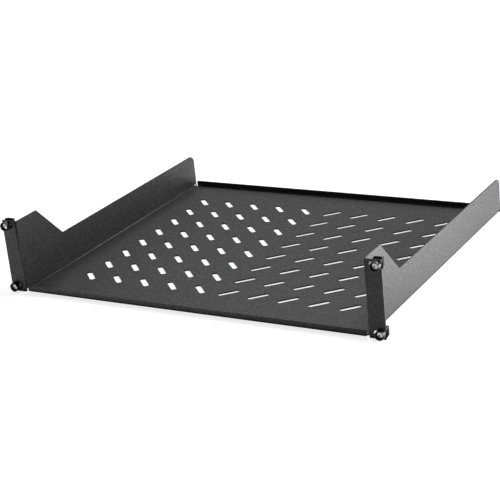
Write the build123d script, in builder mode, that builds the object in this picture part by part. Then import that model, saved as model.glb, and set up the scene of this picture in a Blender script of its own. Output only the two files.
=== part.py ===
import os
from math import cos, floor, radians, sin, tan

from build123d import *

# Cantilever rack shelf, two rack units high, for a 19-inch rack. Millimetres.
# X runs across the rack, Y runs back into it and Z is up. The origin is midway between
# the ears, on the plane of their rear faces, which bear on the rack posts, and level with
# the underside of the deck.

# Folded sheet
sheet = 1.6
bend_inner_r = 1.5
body_width = 445.0
body_depth = 390.0
panel_height = 88.1
rear_wall_height = 44.5
front_wall_length = 39.5
wall_slope = 45.0
rear_corner_r = 9.5
lip_height = 8.0
lip_end_gap = 2.4
relief_r = 2.2
relief_centre_height = 1.8

# Ears and their slots, which are open at the outer edge
ear_width = 18.8
ear_slot_width = 7.0
ear_slot_reach = 8.6
fixing_from_edge = 5.8
fixing_from_end = 5.95

# Slots in the deck
slot_length = 25.4
slot_width = 6.8
slot_corner_cut = 1.6
slot_angle = 45.0
slot_pitch = 38.1
slot_side_margin = 1.0
slot_end_margin = 45.0

# Screw with a bevelled pan head and a cross recess
screw_d = 5.0
head_d = 7.8
head_height = 2.6
head_bevel = 1.2
recess_span = 4.4
recess_arm = 0.9
recess_depth = 1.5
recess_taper = 12.0
screw_past_nut = 0.9

# Cup washer
cup_d = 11.2
cup_height = 5.6
cup_floor = 1.0
cup_wall_gap = 0.4
cup_hole_gap = 0.25
cup_rim_chamfer = 0.4

# Cage nut: a spring-steel cage for a square hole in a rack post, and its square nut
post_thickness = 1.5
cage_sheet = 0.7
cage_bend_r = 0.3
cage_width = 11.4
cage_bar = 1.1
window_height = 7.8
wing_width = 9.4
wing_bow = 1.3
wing_bow_length = 2.1
rear_lip = 1.8
hook_width = 7.6
hook_height = 1.9
nut_width = 10.0
nut_thickness = 5.4
nut_corner_r = 0.8
cage_gap = 0.1
thread_gap = 0.1

# Places worked out from the sizes above
bend_outer_r = bend_inner_r + sheet
ear_front = -sheet
body_back = ear_front + body_depth
half_width = body_width / 2
wall_inner = half_width - sheet
ear_edge = half_width + ear_width
lip_end = wall_inner - lip_end_gap
front_relief = ear_front + bend_outer_r
back_relief = body_back - bend_outer_r
wall_joint = relief_r / 2
relief_reach = half_width - lip_end
fixing_x = ear_edge - fixing_from_edge
fixing_sides = {"left": -fixing_x, "right": fixing_x}
fixing_heights = {"bottom": fixing_from_end, "top": panel_height - fixing_from_end}
head_seat = ear_front - cup_floor
head_top = head_seat - head_height
cup_front = ear_front - cup_height
cage_front = cage_gap + cage_sheet + post_thickness
nut_front = cage_front + cage_sheet + cage_gap
nut_back = nut_front + nut_thickness
cage_back = nut_back + cage_gap + cage_sheet
wing_height = nut_width / 2 + cage_gap + cage_sheet
screw_end = nut_back + screw_past_nut


os.makedirs("parts", exist_ok=True)

# The folded sheet. The lengthwise strip is the deck with its front and back lips.
with BuildPart() as shelf_body:
    with BuildSketch(Plane.YZ):
        with BuildLine():
            FilletPolyline(
                (ear_front, lip_height),
                (ear_front, 0),
                (body_back, 0),
                (body_back, lip_height),
                radius=bend_outer_r,
            )
            offset(amount=sheet, side=Side.LEFT)
        make_face()
    extrude(amount=lip_end, both=True)

    # The crosswise channel is the deck with its side walls, between the corner reliefs.
    with BuildSketch(Plane.XZ.offset(-front_relief)):
        with BuildLine():
            FilletPolyline(
                (-half_width, panel_height),
                (-half_width, 0),
                (half_width, 0),
                (half_width, panel_height),
                radius=bend_outer_r,
            )
            offset(amount=sheet, side=Side.LEFT)
        make_face()
    extrude(amount=-(back_relief - front_relief))

    # Each wall runs on to an ear turned outwards at the front, and to a free edge behind.
    with BuildSketch(Plane.XY):
        with BuildLine():
            FilletPolyline(
                (wall_inner, front_relief + wall_joint),
                (wall_inner, ear_front),
                (ear_edge, ear_front),
                radius=bend_outer_r,
            )
            offset(amount=sheet, side=Side.LEFT)
        make_face()
        with Locations(((wall_inner + half_width) / 2, (back_relief - wall_joint + body_back) / 2)):
            Rectangle(sheet, body_back - back_relief + wall_joint)
        mirror(about=Plane.YZ)
    extrude(amount=panel_height)

    # Behind the tall front corner each wall slopes down to its rear height.
    slope_top = ear_front + front_wall_length
    slope_foot = slope_top + (panel_height - rear_wall_height) / tan(radians(wall_slope))
    with BuildSketch(Plane.YZ):
        with BuildLine():
            Polyline(
                (slope_top, panel_height),
                (slope_foot, rear_wall_height),
                (body_back, rear_wall_height),
                (body_back, panel_height),
                close=True,
            )
        make_face()
    extrude(amount=ear_edge, both=True, mode=Mode.SUBTRACT)
    rear_tops = shelf_body.edges().filter_by(Axis.X).group_by(Axis.Y)[-1].group_by(Axis.Z)[-1]
    fillet(rear_tops, radius=rear_corner_r)

    # A round relief opens each corner of the deck, where a lip's fold meets a wall's fold.
    relief_places = [
        (x, y)
        for x in (-half_width + bend_outer_r, half_width - bend_outer_r)
        for y in (front_relief, back_relief)
    ]
    with BuildSketch(Plane.XY):
        with Locations(relief_places):
            Circle(relief_r)
    extrude(amount=relief_centre_height, mode=Mode.SUBTRACT)
    with BuildSketch(Plane.YZ.offset(-half_width)):
        with Locations((front_relief, relief_centre_height), (back_relief, relief_centre_height)):
            Circle(relief_r)
    extrude(amount=relief_reach, mode=Mode.SUBTRACT)
    with BuildSketch(Plane.YZ.offset(half_width)):
        with Locations((front_relief, relief_centre_height), (back_relief, relief_centre_height)):
            Circle(relief_r)
    extrude(amount=-relief_reach, mode=Mode.SUBTRACT)

    # Slanted slots fill the deck, handed about its centre line. Their corners are cut straight.
    slant = radians(slot_angle)
    slot_half_x = (slot_length * cos(slant) + slot_width * sin(slant)) / 2
    slot_half_y = (slot_length * sin(slant) + slot_width * cos(slant)) / 2
    deck_half = half_width - bend_outer_r - slot_side_margin
    deck_rows = body_depth - 2 * (bend_outer_r + slot_end_margin + slot_half_y)
    columns = floor((deck_half - slot_half_x) / slot_pitch + 0.5)
    rows = floor(deck_rows / slot_pitch) + 1
    pattern_x = columns * slot_pitch / 2
    pattern_y = (ear_front + body_back) / 2
    with BuildSketch() as slot:
        Rectangle(slot_length, slot_width, rotation=slot_angle)
        chamfer(slot.vertices(), length=slot_corner_cut)
    with BuildSketch(Plane.XY):
        with Locations((pattern_x, pattern_y)):
            with GridLocations(slot_pitch, slot_pitch, columns, rows):
                add(slot.sketch)
        mirror(about=Plane.YZ)
    extrude(amount=sheet, mode=Mode.SUBTRACT)

    # Two slots in each ear, round at the inner end and open at the ear's edge.
    slot_inner_x = fixing_x - ear_slot_reach
    open_slot_length = 2 * (ear_edge - slot_inner_x)
    with BuildSketch(Plane.XZ):
        with Locations(*[(ear_edge, height) for height in fixing_heights.values()]):
            SlotOverall(open_slot_length, ear_slot_width)
        mirror(about=Plane.YZ)
    extrude(amount=sheet, mode=Mode.SUBTRACT)

shelf_body.part.label = "shelf_body"
export_step(shelf_body.part, "parts/shelf_body.step")

# Screw: a bevelled pan head with a tapered cross recess, and a plain shank without its thread.
with BuildPart() as screw:
    with BuildSketch(Plane.XY):
        with BuildLine():
            Polyline(
                (0, head_top),
                (head_d / 2 - head_bevel, head_top),
                (head_d / 2, head_top + head_bevel),
                (head_d / 2, head_seat),
                (screw_d / 2, head_seat),
                (screw_d / 2, screw_end),
                (0, screw_end),
                close=True,
            )
        make_face()
    revolve(axis=Axis.Y)
    with BuildSketch(Plane.XZ.offset(-head_top)):
        Rectangle(recess_span, recess_arm)
        Rectangle(recess_arm, recess_span)
    extrude(amount=-recess_depth, taper=recess_taper, mode=Mode.SUBTRACT)

# Cup washer: the head sits on its floor, inside a rim that stands round it.
with BuildPart() as cup_washer:
    with BuildSketch(Plane.XY):
        with BuildLine():
            Polyline(
                (screw_d / 2 + cup_hole_gap, ear_front),
                (cup_d / 2, ear_front),
                (cup_d / 2, cup_front + cup_rim_chamfer),
                (cup_d / 2 - cup_rim_chamfer, cup_front),
                (head_d / 2 + cup_wall_gap, cup_front),
                (head_d / 2 + cup_wall_gap, head_seat),
                (screw_d / 2 + cup_hole_gap, head_seat),
                close=True,
            )
        make_face()
    revolve(axis=Axis.Y)

# Cage: a window plate behind the post, bowed wings that wrap the nut above and below, and
# hooks that reach forward through the post's square hole and catch its front face.
with BuildPart() as cage:
    with BuildSketch(Plane.XZ.offset(-cage_front)):
        Rectangle(cage_width, nut_width + 2 * cage_gap)
        Rectangle(cage_width - 2 * cage_bar, window_height, mode=Mode.SUBTRACT)
    extrude(amount=-cage_sheet)
    with BuildSketch(Plane.YZ):
        with BuildLine():
            FilletPolyline(
                (cage_front, window_height / 2),
                (cage_front, wing_height),
                (cage_front + wing_bow_length, wing_height + wing_bow),
                (cage_front + 2 * wing_bow_length, wing_height),
                (cage_back, wing_height),
                (cage_back, wing_height - rear_lip),
                radius=cage_bend_r + cage_sheet,
            )
            offset(amount=cage_sheet, side=Side.RIGHT)
        make_face()
        mirror(about=Plane.XY)
    extrude(amount=wing_width / 2, both=True)
    with BuildSketch(Plane.YZ):
        with BuildLine():
            FilletPolyline(
                (cage_front + cage_sheet, window_height / 2),
                (cage_gap, window_height / 2),
                (cage_gap, window_height / 2 + hook_height),
                radius=cage_bend_r + cage_sheet,
            )
            offset(amount=cage_sheet, side=Side.RIGHT)
        make_face()
        mirror(about=Plane.XY)
    extrude(amount=hook_width / 2, both=True)

# Square nut, held loosely between the cage's window plate, wings and rear lips.
nut_bore_r = screw_d / 2 + thread_gap
with BuildPart() as square_nut:
    with BuildSketch(Plane.XZ.offset(-nut_front)):
        RectangleRounded(nut_width, nut_width, nut_corner_r)
        Circle(nut_bore_r, mode=Mode.SUBTRACT)
    extrude(amount=-nut_thickness)

# One set of the four pieces goes in each ear slot.
fixing_pieces = {
    "screw": screw.part,
    "cup_washer": cup_washer.part,
    "cage": cage.part,
    "square_nut": square_nut.part,
}
for height_name, height in fixing_heights.items():
    for side_name, side_x in fixing_sides.items():
        for piece_name, piece in fixing_pieces.items():
            placed = piece.moved(Location((side_x, 0, height)))
            placed.label = f"{piece_name}_{height_name}_{side_name}"
            export_step(placed, f"parts/{placed.label}.step")
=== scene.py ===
"""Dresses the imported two-unit cantilever rack shelf: its finishes, small hardware, floor and light.

Lengths are in metres, in the part's own frame: X runs across the rack, Y back into it and Z up.
The folded shelf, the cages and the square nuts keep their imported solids, with softened edges.
The screws and cup washers are turned and moulded pieces, so they are modelled here in full.
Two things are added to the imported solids: the metal that an extra slot takes from the shelf's front
fold, and the side flanges of the cages.
"""

import logging
from abc import ABC, abstractmethod
from collections.abc import Callable, Mapping, Sequence
from dataclasses import dataclass, field
from enum import Enum
from math import ceil, cos, radians, sin, tau
from typing import ClassVar

import bmesh
import bpy
from mathutils import Matrix, Vector


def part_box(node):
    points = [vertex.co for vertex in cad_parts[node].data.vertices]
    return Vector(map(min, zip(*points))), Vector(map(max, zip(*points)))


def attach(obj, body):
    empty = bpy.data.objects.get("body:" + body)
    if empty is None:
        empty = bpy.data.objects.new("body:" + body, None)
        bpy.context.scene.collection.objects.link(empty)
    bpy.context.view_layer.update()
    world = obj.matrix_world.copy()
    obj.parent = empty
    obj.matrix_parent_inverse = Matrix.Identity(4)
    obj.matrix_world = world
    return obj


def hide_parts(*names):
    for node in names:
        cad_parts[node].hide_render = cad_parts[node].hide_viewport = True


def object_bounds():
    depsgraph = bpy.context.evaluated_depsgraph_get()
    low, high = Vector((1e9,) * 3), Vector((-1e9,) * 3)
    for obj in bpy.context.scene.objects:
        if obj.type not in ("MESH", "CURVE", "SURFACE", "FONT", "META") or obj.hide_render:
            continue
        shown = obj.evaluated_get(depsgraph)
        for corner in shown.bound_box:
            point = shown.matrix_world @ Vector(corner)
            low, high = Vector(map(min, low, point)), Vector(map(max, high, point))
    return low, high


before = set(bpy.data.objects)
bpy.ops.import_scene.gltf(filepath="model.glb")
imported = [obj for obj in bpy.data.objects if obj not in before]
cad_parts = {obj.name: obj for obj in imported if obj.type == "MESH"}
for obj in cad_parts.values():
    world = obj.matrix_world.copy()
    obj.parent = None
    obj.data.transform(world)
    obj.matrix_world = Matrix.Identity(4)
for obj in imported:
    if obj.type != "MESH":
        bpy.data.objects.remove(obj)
cad_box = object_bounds()

log = logging.getLogger("shelf")

MM = 0.001
TINY = 1e-9
ROOT_2 = 2**0.5
CREASE = radians(32)
WELD_GAP = 0.0005 * MM
EDGE_SEGMENTS = 2

Colour = tuple[float, float, float, float]
Point2 = tuple[float, float]


def grey(level: float, warmth: float = 0.0) -> Colour:
    """Returns an opaque near-neutral colour.

    Args:
        level: Its linear level, from 0 to 1.
        warmth: How much red is added and blue is taken, as a share of the level.
    """
    return (level * (1 + warmth), level, level * (1 - warmth), 1.0)


class Side(Enum):
    """The two ears that carry the fixings."""

    LEFT = "left"
    RIGHT = "right"


class Level(Enum):
    """The two heights of the fixings on each ear."""

    BOTTOM = "bottom"
    TOP = "top"


@dataclass(frozen=True)
class Wire:
    """A node's output that takes part in Python sums. Each operation adds one Math node."""

    tree: bpy.types.NodeTree
    socket: bpy.types.NodeSocket

    def calculate(self, operation: str, *terms: "Wire | float") -> "Wire":
        """Adds a Math node.

        Args:
            operation: The Math node's operation.
            terms: Its inputs in order, each a link or a number.

        Returns:
            The Math node's output.
        """
        return Bench(self.tree).add("ShaderNodeMath", {"operation": operation}, dict(enumerate(terms)))

    def __add__(self, other: "Wire | float") -> "Wire":
        """Returns self + other."""
        return self.calculate("ADD", self, other)

    def __radd__(self, other: float) -> "Wire":
        """Returns other + self."""
        return self.calculate("ADD", other, self)

    def __sub__(self, other: "Wire | float") -> "Wire":
        """Returns self - other."""
        return self.calculate("SUBTRACT", self, other)

    def __rsub__(self, other: float) -> "Wire":
        """Returns other - self."""
        return self.calculate("SUBTRACT", other, self)

    def __mul__(self, other: "Wire | float") -> "Wire":
        """Returns self * other."""
        return self.calculate("MULTIPLY", self, other)

    def __rmul__(self, other: float) -> "Wire":
        """Returns other * self."""
        return self.calculate("MULTIPLY", other, self)


class Bench:
    """Adds nodes to one node tree and joins them."""

    def __init__(self, tree: bpy.types.NodeTree) -> None:
        """Takes the tree as it is.

        Args:
            tree: The material's or the world's node tree.
        """
        self.tree = tree

    def add(
        self,
        kind: str,
        settings: Mapping[str, object] | None = None,
        inputs: Mapping[int | str, object] | None = None,
        output: int | str = 0,
    ) -> Wire:
        """Adds one node.

        Args:
            kind: The node's type.
            settings: Its own settings, set first.
            inputs: The value or link of each socket, by number or name.
            output: Which output is returned.

        Returns:
            That output.
        """
        node = self.tree.nodes.new(kind)
        for name, value in (settings or {}).items():
            setattr(node, name, value)
        for key, value in (inputs or {}).items():
            self.plug(node.inputs[key], value)
        return Wire(self.tree, node.outputs[output])

    def plug(self, socket: bpy.types.NodeSocket, value: object) -> None:
        """Links a wire to a socket, or sets the socket's own value.

        Args:
            socket: The input.
            value: A wire, a number or a colour.
        """
        if isinstance(value, Wire):
            self.tree.links.new(value.socket, socket)
        else:
            socket.default_value = value

    def blend(self, factor: Wire | float, first: Wire | Colour, second: Wire | Colour) -> Wire:
        """Mixes two colours.

        Args:
            factor: 0 for the first colour and 1 for the second.
            first: The first colour.
            second: The second colour.

        Returns:
            The mixed colour.
        """
        sockets = {0: factor, 6: first, 7: second}
        return self.add("ShaderNodeMix", {"data_type": "RGBA"}, sockets, output=2)

    def noise(self, place: Wire, feature: float, detail: float = 2.0, rough: float = 0.5) -> Wire:
        """Adds a noise whose features have a real size.

        Args:
            place: The coordinates that it is laid on, in metres.
            feature: The rough size of a feature, in metres.
            detail: The number of finer layers.
            rough: How strong each finer layer is beside the last.

        Returns:
            Its level, from 0 to 1.
        """
        sockets = {"Vector": place, "Scale": 1 / feature, "Detail": detail, "Roughness": rough}
        return self.add("ShaderNodeTexNoise", {"noise_dimensions": "3D"}, sockets)

    def bump(self, height: Wire, depth: float) -> Wire:
        """Adds a bump.

        Args:
            height: The relief, from 0 to 1.
            depth: The relief's real depth, in metres.

        Returns:
            The normal.
        """
        return self.add("ShaderNodeBump", None, {"Height": height, "Distance": depth})

    def ramp(self, value: Wire, start: float, end: float) -> Wire:
        """Adds a smooth step.

        Args:
            value: What is stepped.
            start: Where the step is still 0.
            end: Where it reaches 1.

        Returns:
            The step's level.
        """
        sockets = {0: value, 1: start, 2: end}
        return self.add("ShaderNodeMapRange", {"interpolation_type": "SMOOTHSTEP"}, sockets)

    def place(self) -> Wire:
        """Returns the coordinates of the object itself, in metres."""
        return self.add("ShaderNodeTexCoord", output="Object")

    def end(self, kind: str, shader: Wire) -> None:
        """Ends the tree with its output node.

        Args:
            kind: The output node's type.
            shader: The shader that it shows.
        """
        self.plug(self.tree.nodes.new(kind).inputs["Surface"], shader)

    def surface(self, sockets: Mapping[str, object]) -> None:
        """Ends a material's tree with a Principled shader.

        Args:
            sockets: The value or link of each of its sockets.
        """
        self.end("ShaderNodeOutputMaterial", self.add("ShaderNodeBsdfPrincipled", None, sockets))


class Finish(ABC):
    """A surface finish, which makes one material for the pieces that share it."""

    title: ClassVar[str]
    slot: ClassVar[str]

    @abstractmethod
    def shade(self, bench: Bench) -> None:
        """Builds the finish's shader.

        Args:
            bench: The material's empty tree.
        """

    def material(self) -> bpy.types.Material:
        """Makes the material.

        Returns:
            The new material, named after the finish.
        """
        made = bpy.data.materials.new(self.title)
        made.use_nodes = True
        made.node_tree.nodes.clear()
        self.shade(Bench(made.node_tree))
        return made


@dataclass(frozen=True)
class PowderCoat(Finish):
    """Black baked powder: a fine orange-peel skin with a low scatter of coarser lumps."""

    title: ClassVar[str] = "baked_powder"
    slot: ClassVar[str] = "black_powder_coat"
    dark: float = 0.026
    pale: float = 0.062
    gloss: float = 0.5
    roughness: float = 0.44
    roughness_swing: float = 0.14
    peel_size: float = 2.2 * MM
    lump_size: float = 4.5 * MM
    lump_share: float = 0.3
    relief: float = 0.7 * MM
    mottle: Point2 = (0.36, 0.64)
    sheen_clouds: float = 60 * MM

    def shade(self, bench: Bench) -> None:
        """Builds the coat's shader.

        Args:
            bench: The material's empty tree.
        """
        place = bench.place()
        peel = bench.noise(place, self.peel_size, detail=3.0, rough=0.55)
        lumps = bench.noise(place, self.lump_size, detail=1.0)
        clouds = bench.noise(place, self.sheen_clouds)
        skin = peel * (1 - self.lump_share) + lumps * self.lump_share
        mottle = bench.ramp(peel, *self.mottle)
        matt = (1 - mottle) * self.roughness_swing + clouds * (self.roughness_swing / 2)
        least = self.roughness - self.roughness_swing * 3 / 4
        bench.surface(
            {
                "Base Color": bench.blend(mottle, grey(self.dark), grey(self.pale)),
                "Roughness": matt + least,
                "Specular IOR Level": self.gloss,
                "Normal": bench.bump(skin, self.relief),
            }
        )


@dataclass(frozen=True)
class BrightZinc(Finish):
    """Bright zinc plate on turned steel, with a fine grain and a soft bloom."""

    title: ClassVar[str] = "turned_zinc"
    slot: ClassVar[str] = "bright_zinc"
    bright: float = 0.95
    dull: float = 0.78
    cast: float = 0.02
    roughness: float = 0.30
    roughness_swing: float = 0.16
    bloom_size: float = 1.6 * MM
    grain_size: float = 0.25 * MM
    relief: float = 0.010 * MM

    def shade(self, bench: Bench) -> None:
        """Builds the plate's shader.

        Args:
            bench: The material's empty tree.
        """
        place = bench.place()
        bloom = bench.noise(place, self.bloom_size, detail=3.0, rough=0.6)
        grain = bench.noise(place, self.grain_size)
        cool, warm = grey(self.bright, -self.cast), grey(self.dull, self.cast)
        least = self.roughness - self.roughness_swing / 2
        bench.surface(
            {
                "Base Color": bench.blend(bloom, cool, warm),
                "Metallic": 1.0,
                "Roughness": bloom * self.roughness_swing + least,
                "Normal": bench.bump(grain, self.relief),
            }
        )


@dataclass(frozen=True)
class ShadedNutZinc(BrightZinc):
    """The same plate on a pressed nut, with a coarser grain; its colour is painted far darker than the
    screws' plate as painted shade, which holds down the bright floor's reflection in it.
    """

    title: ClassVar[str] = "pressed_zinc_painted_shade"
    slot: ClassVar[str] = "nut_zinc"
    # painted shade: these levels are far darker than the screws' zinc of the same plate
    bright: float = 0.20
    dull: float = 0.11
    roughness: float = 0.42
    grain_size: float = 0.5 * MM
    relief: float = 0.02 * MM


@dataclass(frozen=True)
class BlackPlastic(Finish):
    """Moulded black nylon with a smooth skin and a trace of mould texture."""

    title: ClassVar[str] = "moulded_nylon"
    slot: ClassVar[str] = "black_plastic"
    dark: float = 0.010
    pale: float = 0.016
    roughness: float = 0.34
    roughness_swing: float = 0.12
    grain_size: float = 0.35 * MM
    relief: float = 0.012 * MM

    def shade(self, bench: Bench) -> None:
        """Builds the nylon's shader.

        Args:
            bench: The material's empty tree.
        """
        grain = bench.noise(bench.place(), self.grain_size, detail=3.0, rough=0.6)
        least = self.roughness - self.roughness_swing / 2
        bench.surface(
            {
                "Base Color": bench.blend(grain, grey(self.dark), grey(self.pale)),
                "Roughness": grain * self.roughness_swing + least,
                "Normal": bench.bump(grain, self.relief),
            }
        )


@dataclass(frozen=True)
class BlackSpringSteel(Finish):
    """Black-oxide spring steel: a dark oiled skin that pales in streaks where it was drawn."""

    title: ClassVar[str] = "oxide_spring_steel"
    slot: ClassVar[str] = "black_spring_steel"
    dark: float = 0.005
    pale: float = 0.014
    gloss: float = 0.12
    roughness: float = 0.46
    roughness_swing: float = 0.16
    streak_size: float = 0.5 * MM
    streak_stretch: float = 8.0
    relief: float = 0.012 * MM

    def shade(self, bench: Bench) -> None:
        """Builds the oxide's shader.

        Args:
            bench: The material's empty tree.
        """
        squeeze = (1 / self.streak_stretch, 1.0, 1.0)
        settings = {"operation": "MULTIPLY"}
        drawn = bench.add("ShaderNodeVectorMath", settings, {0: bench.place(), 1: squeeze})
        streaks = bench.noise(drawn, self.streak_size, detail=3.0, rough=0.6)
        least = self.roughness - self.roughness_swing / 2
        bench.surface(
            {
                "Base Color": bench.blend(streaks, grey(self.dark), grey(self.pale)),
                "Roughness": streaks * self.roughness_swing + least,
                "Specular IOR Level": self.gloss,
                "Normal": bench.bump(streaks, self.relief),
            }
        )


def closed_mesh(made: bmesh.types.BMesh, name: str) -> bpy.types.Mesh:
    """Ends a mesh in the making, with its faces turned outwards.

    Args:
        made: The faces made so far, which are freed.
        name: The mesh's name.

    Returns:
        The mesh.
    """
    bmesh.ops.recalc_face_normals(made, faces=made.faces)
    mesh = bpy.data.meshes.new(name)
    made.to_mesh(mesh)
    made.free()
    return mesh


def linked(name: str, data: bpy.types.ID) -> bpy.types.Object:
    """Makes an object and links it to the scene.

    Args:
        name: The object's name.
        data: Its mesh, light or camera.

    Returns:
        The object.
    """
    made = bpy.data.objects.new(name, data)
    bpy.context.scene.collection.objects.link(made)
    return made


@dataclass(frozen=True)
class Corner:
    """One corner of a turned piece's section."""

    radius: float
    along: float
    fillet: float = 0.0


def rounded(corners: Sequence[Corner], steps: int = 5) -> list[Point2]:
    """Rounds a closed section's corners.

    Args:
        corners: The section's corners in order.
        steps: The number of segments in each rounded corner.

    Returns:
        The section's points, each a radius and a place along the axis.
    """
    points: list[Point2] = []
    for index, corner in enumerate(corners):
        here = Vector((corner.radius, corner.along))
        if not corner.fillet:
            points.append((here.x, here.y))
            continue
        before, after = corners[index - 1], corners[(index + 1) % len(corners)]
        back = (Vector((before.radius, before.along)) - here).normalized()
        ahead = (Vector((after.radius, after.along)) - here).normalized()
        start, end = here + back * corner.fillet, here + ahead * corner.fillet
        for step in range(steps + 1):
            share = step / steps
            bent = start * (1 - share) ** 2 + here * (2 * share * (1 - share)) + end * share**2
            points.append((bent.x, bent.y))
    return points


class Lathe:
    """Turns a section about the Y axis into a mesh."""

    def __init__(self, segments: int) -> None:
        """Sets how fine the turned mesh is.

        Args:
            segments: The number of segments round the axis.
        """
        self.segments = segments

    def turn(
        self,
        name: str,
        section: Sequence[Point2],
        closed: bool,
        shape: Callable[[float, float, float], float] | None = None,
    ) -> bpy.types.Mesh:
        """Makes the turned mesh.

        Args:
            name: The mesh's name.
            section: Radius and place along the axis of each point, in order.
            closed: Whether the section's last point joins its first.
            shape: Gives a point's radius from its radius, place and angle, as on a thread.

        Returns:
            The mesh.
        """
        made = bmesh.new()
        rings = [self._ring(made, radius, along, shape) for radius, along in section]
        pairs = list(zip(rings, rings[1:]))
        if closed:
            pairs.append((rings[-1], rings[0]))
        for first, second in pairs:
            self._bridge(made, first, second)
        return closed_mesh(made, name)

    def _ring(
        self,
        made: bmesh.types.BMesh,
        radius: float,
        along: float,
        shape: Callable[[float, float, float], float] | None,
    ) -> list[bmesh.types.BMVert]:
        """Adds one ring of vertices, or a single one on the axis.

        Args:
            made: The mesh in the making.
            radius: The ring's radius.
            along: Its place along the axis.
            shape: Gives each vertex's own radius.

        Returns:
            The ring's vertices.
        """
        if radius == 0:
            return [made.verts.new((0, along, 0))]
        ring = []
        for index in range(self.segments):
            angle = tau * index / self.segments
            reach = shape(radius, along, angle) if shape else radius
            ring.append(made.verts.new((reach * cos(angle), along, reach * sin(angle))))
        return ring

    def _bridge(
        self,
        made: bmesh.types.BMesh,
        first: Sequence[bmesh.types.BMVert],
        second: Sequence[bmesh.types.BMVert],
    ) -> None:
        """Joins two rings with quads, or a ring and a single vertex with triangles.

        Args:
            made: The mesh in the making.
            first: The first ring.
            second: The second ring.
        """
        for index in range(self.segments):
            following = (index + 1) % self.segments
            if len(first) == 1:
                made.faces.new((first[0], second[following], second[index]))
            elif len(second) == 1:
                made.faces.new((first[index], first[following], second[0]))
            else:
                made.faces.new((first[index], first[following], second[following], second[index]))


def smooth(mesh: bpy.types.Mesh) -> bpy.types.Mesh:
    """Shades a mesh smooth, apart from edges sharper than CREASE.

    Args:
        mesh: The mesh.

    Returns:
        The same mesh.
    """
    mesh.shade_smooth()
    mesh.set_sharp_from_angle(angle=CREASE)
    return mesh


def soften(node: bpy.types.Object, width: float) -> None:
    """Rounds a solid's edges sharper than CREASE with modifiers, so that they catch the light.

    Args:
        node: The solid.
        width: The width of the rounded edge.
    """
    weld = node.modifiers.new("weld", "WELD")
    weld.merge_threshold = WELD_GAP
    edge = node.modifiers.new("edge", "BEVEL")
    edge.width = width
    edge.segments = EDGE_SEGMENTS
    edge.limit_method = "ANGLE"
    edge.angle_limit = CREASE
    edge.use_clamp_overlap = True
    edge.harden_normals = True


def dress(node: bpy.types.Object, material: bpy.types.Material) -> None:
    """Gives every material slot of a piece one finish.

    Args:
        node: The piece.
        material: The finish's material.
    """
    if not node.material_slots:
        node.data.materials.append(material)
    for slot in node.material_slots:
        slot.material = material


def boxed(name: str) -> tuple[Vector, Vector, Vector]:
    """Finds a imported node's box.

    Args:
        name: The node's name.

    Returns:
        Its lowest corner, highest corner and centre.
    """
    low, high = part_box(name)
    return low, high, (low + high) / 2


@dataclass
class FoldedShelf:
    """The folded and slotted sheet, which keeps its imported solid.

    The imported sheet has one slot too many, at the middle of its front fold, where the real one is
    whole. The metal missing there is filled in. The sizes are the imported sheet's own.
    """

    coat: bpy.types.Material
    node: str = "shelf_body"
    edge: float = 0.22 * MM
    sheet: float = 1.6 * MM
    bend: float = 3.1 * MM
    slot_length: float = 25.4 * MM
    slot_width: float = 6.8 * MM
    slot_corner: float = 1.6 * MM
    rows: int = 60

    @property
    def _reach(self) -> float:
        """Returns how far the slanted slot reaches from its middle, along X or Y."""
        return (self.slot_length + self.slot_width - 2 * self.slot_corner) / 2 / ROOT_2

    def _under(self, along: float) -> float:
        """Finds the sheet's underside, which the fold rounds.

        Args:
            along: The place along Y.

        Returns:
            The underside's height there.
        """
        short = max(0.0, self.bend - self.sheet - along)
        return self.bend - (self.bend**2 - min(short, self.bend) ** 2) ** 0.5

    def _across(self, along: float) -> Point2:
        """Finds the slanted slot's two sides.

        Args:
            along: The place along Y.

        Returns:
            The places along X of the left and right side there.
        """
        half_long, half_wide = self.slot_length / 2, self.slot_width / 2
        left = max(along - half_wide * ROOT_2, -half_long * ROOT_2 - along, -self._reach)
        right = min(along + half_wide * ROOT_2, half_long * ROOT_2 - along, self._reach)
        return left, right

    def _fill_front(self) -> None:
        """Fills the extra slot with sheet that follows the fold's underside."""
        start = self.bend - self.sheet - (self.bend**2 - (self.bend - self.sheet) ** 2) ** 0.5
        made = bmesh.new()
        rings = []
        for row in range(1, self.rows + 1):
            along = start + (self._reach - start) * row / self.rows
            left, right = self._across(along)
            low = self._under(along)
            corners = [(left, low), (right, low), (right, self.sheet), (left, self.sheet)]
            rings.append([made.verts.new((x, along, z)) for x, z in corners])
        for first, second in zip(rings, rings[1:]):
            for index in range(4):
                after = (index + 1) % 4
                made.faces.new((first[index], first[after], second[after], second[index]))
        made.faces.new(rings[0])
        made.faces.new(reversed(rings[-1]))
        name = f"{self.node}_front_fill"
        piece = linked(name, smooth(closed_mesh(made, name)))
        piece.data.materials.append(self.coat)
        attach(piece, "root")

    def build(self) -> None:
        """Dresses the sheet, softens its cut edges and fills its front fold."""
        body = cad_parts[self.node]
        dress(body, self.coat)
        soften(body, self.edge)
        self._fill_front()
        log.info("%s: %s", self.node, self.coat.name)


@dataclass(frozen=True)
class Thread:
    """A rolled thread, which gives a turned shank's radius."""

    start: float
    end: float
    shank_radius: float
    pitch: float
    depth: float
    flat: float

    def __call__(self, radius: float, along: float, angle: float) -> float:
        """Cuts the thread into the shank.

        Args:
            radius: The turned radius.
            along: The place along the axis.
            angle: The angle about the axis.

        Returns:
            The thread's radius on the shank, and any other radius as it is.
        """
        if not self.start < along < self.end or radius < self.shank_radius - TINY:
            return radius
        turn = (along / self.pitch - angle / tau) % 1
        flank = max(0.0, abs(2 * turn - 1) - self.flat) / (1 - self.flat)
        ease = min(1.0, (along - self.start) / self.pitch)
        return radius - self.depth * min(1.0, flank) * ease


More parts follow.
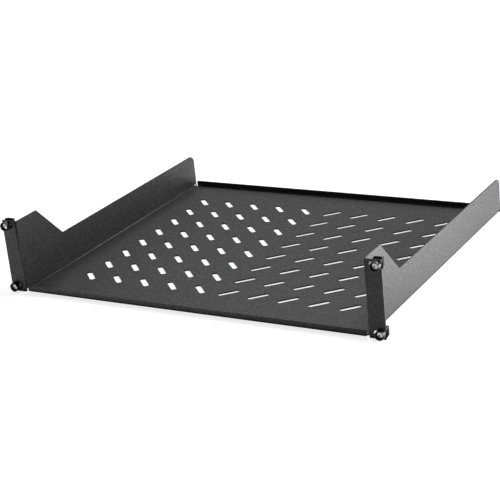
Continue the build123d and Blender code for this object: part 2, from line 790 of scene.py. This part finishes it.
@dataclass
class Screw:
    """A domed cross-recess screw with a rolled thread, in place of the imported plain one."""

    plate: bpy.types.Material
    shank_radius: float = 2.5 * MM
    head_height: float = 2.6 * MM
    crown: float = 0.35 * MM
    shoulder: float = 1.25 * MM
    seat_fillet: float = 0.15 * MM
    pitch: float = 0.8 * MM
    thread_depth: float = 0.42 * MM
    thread_flat: float = 0.22
    tip_chamfer: float = 0.5 * MM
    recess_span: float = 4.6 * MM
    recess_arm: float = 0.95 * MM
    recess_depth: float = 1.6 * MM
    recess_mouth: float = 1.45
    recess_floor: float = 0.62
    segments: int = 64
    dome_rings: int = 12
    rings_per_turn: int = 10
    shared: bpy.types.Mesh | None = field(default=None, init=False)

    def _section(self, front: float, back: float, head_radius: float, thread: Thread) -> list[Point2]:
        """Draws the screw's section from the middle of its head to the middle of its tip.

        Args:
            front: The top of the head.
            back: The tip.
            head_radius: The head's radius.
            thread: The thread, which starts at the head's seat.

        Returns:
            Radius and place along the axis of each point.
        """
        top_radius = head_radius - self.shoulder
        sphere = (top_radius**2 + self.crown**2) / (2 * self.crown)
        dome = []
        for step in range(self.dome_rings):
            radius = top_radius * step / self.dome_rings
            dome.append((radius, front + sphere - (sphere**2 - radius**2) ** 0.5))
        rim = rounded(
            [
                Corner(*dome[-1]),
                Corner(head_radius, front + self.crown, self.shoulder),
                Corner(head_radius, thread.start, self.seat_fillet),
                Corner(self.shank_radius, thread.start),
            ]
        )[1:]
        length = thread.end - thread.start
        rings = ceil(length / self.pitch * self.rings_per_turn)
        shank = [
            (self.shank_radius, thread.start + length * ring / rings)
            for ring in range(1, rings + 1)
        ]
        tip = [(self.shank_radius - self.tip_chamfer, back), (0.0, back)]
        return dome + rim + shank + tip

    def _recess(self, front: float) -> bpy.types.Object:
        """Makes the tapered cross that is cut out of the head.

        Args:
            front: The top of the head.

        Returns:
            The cross, as an object.
        """
        cutter = bmesh.new()
        long, short = self.recess_span / 2, self.recess_arm / 2
        cross = [(long, -short), (long, short), (short, short)]
        for _ in range(3):
            cross += [(-z, x) for x, z in cross[-3:]]
        depth = self.recess_depth
        levels = ((front - depth, self.recess_mouth), (front + depth, self.recess_floor))
        rings = [
            [cutter.verts.new((x * size, along, z * size)) for x, z in cross] for along, size in levels
        ]
        cutter.faces.new(rings[0])
        cutter.faces.new(reversed(rings[1]))
        for index in range(len(cross)):
            following = (index + 1) % len(cross)
            cutter.faces.new(
                (rings[0][index], rings[1][index], rings[1][following], rings[0][following])
            )
        return linked("recess", closed_mesh(cutter, "recess"))

    def _mesh(self, front: float, back: float, head_radius: float) -> bpy.types.Mesh:
        """Makes the whole screw, with its recess cut.

        Args:
            front: The top of the head.
            back: The tip.
            head_radius: The head's radius.

        Returns:
            The screw's mesh.
        """
        thread = Thread(
            start=front + self.head_height,
            end=back - self.tip_chamfer,
            shank_radius=self.shank_radius,
            pitch=self.pitch,
            depth=self.thread_depth,
            flat=self.thread_flat,
        )
        section = self._section(front, back, head_radius, thread)
        solid = Lathe(self.segments).turn("screw_blank", section, closed=False, shape=thread)
        blank, recess = linked("screw_blank", solid), self._recess(front)
        cut = blank.modifiers.new("cut", "BOOLEAN")
        cut.operation = "DIFFERENCE"
        cut.solver = "EXACT"
        cut.object = recess
        bpy.context.view_layer.update()
        made = bpy.data.meshes.new_from_object(
            blank.evaluated_get(bpy.context.evaluated_depsgraph_get())
        )
        for spare in (blank, recess):
            bpy.data.objects.remove(spare)
        made.name = "screw"
        made.materials.clear()
        made.materials.append(self.plate)
        return smooth(made)

    def build(self, node: str) -> None:
        """Puts a full screw in place of a packed one.

        Args:
            node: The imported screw's name.
        """
        low, high, centre = boxed(node)
        if self.shared is None:
            self.shared = self._mesh(low.y, high.y, (high.x - low.x) / 2)
        piece = linked(f"{node}_threaded", self.shared.copy())
        piece.location = (centre.x, 0, centre.z)
        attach(piece, "root")
        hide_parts(node)
        log.info("%s: threaded screw with a cross recess", node)


@dataclass
class CupWasher:
    """A moulded cup with a rounded rim round the screw's head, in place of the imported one."""

    nylon: bpy.types.Material
    floor: float = 1.0 * MM
    draft: float = 0.25 * MM
    inner_radius: float = 4.3 * MM
    hole_radius: float = 2.75 * MM
    rim_fillet: float = 0.42 * MM
    root_fillet: float = 0.3 * MM
    segments: int = 80
    shared: bpy.types.Mesh | None = field(default=None, init=False)

    def _mesh(self, front: float, back: float, radius: float) -> bpy.types.Mesh:
        """Moulds the cup.

        Args:
            front: The rim's place along the axis.
            back: The floor's rear face.
            radius: The cup's radius.

        Returns:
            The cup's mesh.
        """
        seat = back - self.floor
        corners = [
            Corner(self.hole_radius, back, self.root_fillet / 2),
            Corner(radius, back, self.root_fillet),
            Corner(radius - self.draft, front, self.rim_fillet),
            Corner(self.inner_radius, front, self.rim_fillet),
            Corner(self.inner_radius, seat, self.root_fillet),
            Corner(self.hole_radius, seat, self.root_fillet / 2),
        ]
        made = Lathe(self.segments).turn("cup_washer", rounded(corners), closed=True)
        made.materials.append(self.nylon)
        return smooth(made)

    def build(self, node: str) -> None:
        """Puts a rounded cup in place of a packed one.

        Args:
            node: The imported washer's name.
        """
        low, high, centre = boxed(node)
        if self.shared is None:
            self.shared = self._mesh(low.y, high.y, (high.x - low.x) / 2)
        piece = linked(f"{node}_moulded", self.shared.copy())
        piece.location = (centre.x, 0, centre.z)
        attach(piece, "root")
        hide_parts(node)
        log.info("%s: moulded cup with a rounded rim", node)


@dataclass
class CageNut:
    """A spring-steel cage and its square nut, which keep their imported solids.

    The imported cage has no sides, so its two side flanges are added.
    """

    steel: bpy.types.Material
    plate: bpy.types.Material
    cage_edge: float = 0.08 * MM
    nut_edge: float = 0.25 * MM
    side_sheet: float = 0.5 * MM
    side_depth: float = 4.2 * MM
    side_inset: float = 0.7 * MM
    side_corner: float = 1.0 * MM

    def _fold_sides(self, cage: str, nut: str) -> None:
        """Adds the cage's two side flanges, which fold back along the nut's sides.

        Args:
            cage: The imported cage's name.
            nut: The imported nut's name.
        """
        low, high, centre = boxed(cage)
        nut_low, nut_high, _ = boxed(nut)
        front = nut_low.y - self.side_inset
        back, tall = front + self.side_depth, (nut_high.z - nut_low.z) / 2 - self.side_inset
        cut = self.side_corner
        outline = [(front, -tall), (back - cut, -tall), (back, cut - tall)]
        outline += [(along, -height) for along, height in reversed(outline)]
        made = bmesh.new()
        for outer, inner in ((low.x, low.x + self.side_sheet), (high.x - self.side_sheet, high.x)):
            flange = made.faces.new(
                [made.verts.new((outer, along, centre.z + height)) for along, height in outline]
            )
            thick = bmesh.ops.extrude_face_region(made, geom=[flange])["geom"]
            corners = [item for item in thick if isinstance(item, bmesh.types.BMVert)]
            bmesh.ops.translate(made, verts=corners, vec=(inner - outer, 0, 0))
        piece = linked(f"{cage}_sides", closed_mesh(made, f"{cage}_sides"))
        piece.data.materials.append(self.steel)
        soften(piece, self.cage_edge)
        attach(piece, "root")

    def build(self, cage: str, nut: str) -> None:
        """Dresses one cage and its nut.

        Args:
            cage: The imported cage's name.
            nut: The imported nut's name.
        """
        dress(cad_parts[cage], self.steel)
        soften(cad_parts[cage], self.cage_edge)
        dress(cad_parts[nut], self.plate)
        soften(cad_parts[nut], self.nut_edge)
        self._fold_sides(cage, nut)
        log.info("%s and %s: dressed", cage, nut)


@dataclass
class Fixings:
    """The four sets of screw, cup washer and cage nut in the ears' slots."""

    screw: Screw
    washer: CupWasher
    cage_nut: CageNut

    def build(self) -> None:
        """Builds one set at each ear slot."""
        for level in Level:
            for side in Side:
                place = f"{level.value}_{side.value}"
                self.screw.build(f"screw_{place}")
                self.washer.build(f"cup_washer_{place}")
                self.cage_nut.build(f"cage_{place}", f"square_nut_{place}")


@dataclass(frozen=True)
class Softbox:
    """A flat lamp that faces the shelf from a direction, at its own distance."""

    name: str
    azimuth: float
    elevation: float
    distance: float
    width: float
    height: float
    power: float

    def hang(self, aim: Vector) -> None:
        """Makes the lamp.

        Args:
            aim: The point that it faces.
        """
        turn, lift = radians(self.azimuth), radians(self.elevation)
        away = Vector((sin(turn) * cos(lift), -cos(turn) * cos(lift), sin(lift)))
        light = bpy.data.lights.new(self.name, "AREA")
        light.shape = "RECTANGLE"
        light.size = self.width
        light.size_y = self.height
        light.energy = self.power
        lamp = linked(self.name, light)
        lamp.location = aim + away * self.distance
        lamp.rotation_mode = "QUATERNION"
        lamp.rotation_quaternion = away.to_track_quat("Z", "Y")
        lamp.visible_camera = False


@dataclass(frozen=True)
class Studio:
    """The pale floor, the surroundings and the lamps."""

    floor_size: float = 12.0
    floor_drop: float = 0.2 * MM
    floor_pale: float = 0.80
    # painted shade: short rays off gloss lose the floor's white glow near where the shelf stands
    contact_shade_reach: Point2 = (3 * MM, 14 * MM)
    # painted shade: a greyer patch of floor at the near right, seen only in reflections
    shade_patch_spot: tuple[float, float, float] = (0.38, -0.45, 0.0)
    shade_patch_reach: Point2 = (0.25, 0.75)
    shade_patch_grey: float = 0.30
    near_level: float = 0.78
    near_reach: Point2 = (0.42, 0.75)
    sky_dim: float = 0.06
    wall_bright: float = 0.35
    wall_low: float = 0.19
    wall_high: float = 0.53
    wall_way: tuple[float, float, float] = (-0.515, 0.857, 0.0)
    wall_reach: float = 0.25
    wall_soft: float = 0.0625
    softboxes: tuple[Softbox, ...] = (
        Softbox("right_reflector", 95, -0.5, 0.50, 0.50, 0.075, 2.15),
        Softbox("back_right_softbox", 150, 35, 2.4, 0.9, 0.9, 33),
        Softbox("back_left_softbox", 210, 50, 2.4, 0.9, 0.9, 12),
    )

    def _seen(self, bench: Bench) -> Wire:
        """Tells the rays that see the floor white from those that it only lights.

        A short ray off gloss meets the floor near where the shelf stands on it, and there the white
        glow fades out by the ray's length: painted shade in reflections, over the matt floor's own lit
        shadow.

        Args:
            bench: The floor's tree.

        Returns:
            1 for a ray from the camera, off gloss or through glass, and 0 for others; a short ray off
            gloss falls towards 0, as painted shade.
        """
        camera, gloss, glass, length = [
            bench.add("ShaderNodeLightPath", output=name)
            for name in ("Is Camera Ray", "Is Glossy Ray", "Is Transmission Ray", "Ray Length")
        ]
        # painted shade: floor reflections darken by ray length near where the shelf stands
        gloss = gloss * bench.ramp(length, *self.contact_shade_reach)
        return camera.calculate("MAXIMUM", camera.calculate("MAXIMUM", camera, gloss), glass)

    def _apart(self, bench: Bench, spot: tuple[float, float, float]) -> Wire:
        """Measures how far a point of the floor is from a spot.

        Args:
            bench: The floor's tree.
            spot: The spot.

        Returns:
            The distance.
        """
        sockets = {0: bench.add("ShaderNodeNewGeometry", output="Position"), 1: spot}
        return bench.add("ShaderNodeVectorMath", {"operation": "DISTANCE"}, sockets, 1)

    def _shine(self, bench: Bench) -> Wire:
        """Gives the floor's colour.

        Args:
            bench: The floor's tree.

        Returns:
            White to the camera, and greyer off gloss at the near right: painted shade in the floor's
            reflections.
        """
        # painted shade: the floor turns grey in reflections near the spot at the near right
        level = bench.ramp(self._apart(bench, self.shade_patch_spot), *self.shade_patch_reach)
        camera = bench.add("ShaderNodeLightPath", output="Is Camera Ray")
        white = level.calculate("MAXIMUM", level, camera)
        return bench.blend(white, grey(self.shade_patch_grey), grey(1.0))

    def _lay_floor(self, aim: Vector) -> None:
        """Lays the floor, white to the eye and in reflections apart from painted shade in reflections,
        with the shelf's faint shadow.

        Args:
            aim: The shelf's centre.
        """
        half = self.floor_size / 2
        mesh = bpy.data.meshes.new("floor")
        corners = [(-half, -half, 0), (half, -half, 0), (half, half, 0), (-half, half, 0)]
        mesh.from_pydata(corners, [], [(0, 1, 2, 3)])
        floor = linked("floor", mesh)
        floor.location = (aim.x, aim.y, cad_box[0].z - self.floor_drop)
        paint = bpy.data.materials.new("floor_paint")
        paint.use_nodes = True
        paint.node_tree.nodes.clear()
        bench = Bench(paint.node_tree)
        matt = bench.add("ShaderNodeBsdfDiffuse", None, {"Color": grey(self.floor_pale)})
        near = bench.ramp(self._apart(bench, (aim.x, aim.y, 0.0)), *self.near_reach)
        level = self._seen(bench) * (near * (1 - self.near_level) + self.near_level)
        glow = {"Color": self._shine(bench), "Strength": level}
        white = bench.add("ShaderNodeEmission", None, glow)
        look = bench.add("ShaderNodeAddShader", None, {0: matt, 1: white})
        bench.end("ShaderNodeOutputMaterial", look)
        mesh.materials.append(paint)

    def _paint_sky(self) -> None:
        """Makes the surroundings: white to the camera, and a dim studio above a pale horizon."""
        world = bpy.data.worlds.new("studio")
        bpy.context.scene.world = world
        world.use_nodes = True
        world.node_tree.nodes.clear()
        bench = Bench(world.node_tree)
        way = bench.add("ShaderNodeTexCoord", output="Generated")
        height = bench.add("ShaderNodeSeparateXYZ", None, {0: way}, output="Z")
        sockets = {0: way, 1: self.wall_way}
        facing = bench.add("ShaderNodeVectorMath", {"operation": "DOT_PRODUCT"}, sockets, 1)
        soft = self.wall_soft
        band = bench.ramp(height, self.wall_low - soft, self.wall_low + soft)
        band = band * (1 - bench.ramp(height, self.wall_high - soft, self.wall_high + soft))
        wall = band * bench.ramp(facing, 0.0, self.wall_reach)
        sky = bench.blend(wall, grey(self.sky_dim), grey(self.wall_bright))
        camera = bench.add("ShaderNodeLightPath", output="Is Camera Ray")
        seen = bench.blend(camera, sky, grey(1.0))
        light = bench.add("ShaderNodeBackground", None, {"Color": seen, "Strength": 1.0})
        bench.end("ShaderNodeOutputWorld", light)

    def build(self) -> None:
        """Lays the floor, sets the surroundings and hangs the lamps."""
        low, high = cad_box
        aim = (low + high) / 2
        self._lay_floor(aim)
        self._paint_sky()
        for softbox in self.softboxes:
            softbox.hang(aim)
        view = bpy.context.scene.view_settings
        view.view_transform = "Standard"
        log.info("studio: floor, surroundings and %d softboxes", len(self.softboxes))


@dataclass(frozen=True)
class Viewpoint:
    """Where the photograph was taken from, solved from the shelf's slots and standard width."""

    place: tuple[float, float, float] = (0.83119, -1.22796, 0.6264)
    azimuth: float = 31.148
    elevation: float = 20.732
    roll: float = -5.978
    lens_mm: float = 104.68
    sensor_mm: float = 36.0
    nearest: float = 0.05
    farthest: float = 50.0

    def build(self) -> None:
        """Makes the camera and gives it to the scene."""
        data = bpy.data.cameras.new("camera")
        data.lens = self.lens_mm
        data.sensor_width = self.sensor_mm
        data.clip_start = self.nearest
        data.clip_end = self.farthest
        camera = linked("camera", data)
        turn = Matrix.Rotation(radians(self.azimuth), 3, "Z")
        lift = Matrix.Rotation(radians(90 - self.elevation), 3, "X")
        tip = Matrix.Rotation(radians(self.roll), 3, "Z")
        camera.rotation_mode = "QUATERNION"
        camera.rotation_quaternion = (turn @ lift @ tip).to_quaternion()
        camera.location = self.place
        bpy.context.scene.camera = camera


def main() -> None:
    """Builds every class in order."""
    logging.basicConfig(level=logging.INFO, format="%(message)s")
    FoldedShelf(PowderCoat().material()).build()
    # the nut's zinc is a copy of the screws' plate painted darker as shade
    zinc, nut_zinc = BrightZinc().material(), ShadedNutZinc().material()
    cages = CageNut(BlackSpringSteel().material(), nut_zinc)
    Fixings(Screw(zinc), CupWasher(BlackPlastic().material()), cages).build()
    Studio().build()
    Viewpoint().build()


if __name__ == "__main__":
    main()
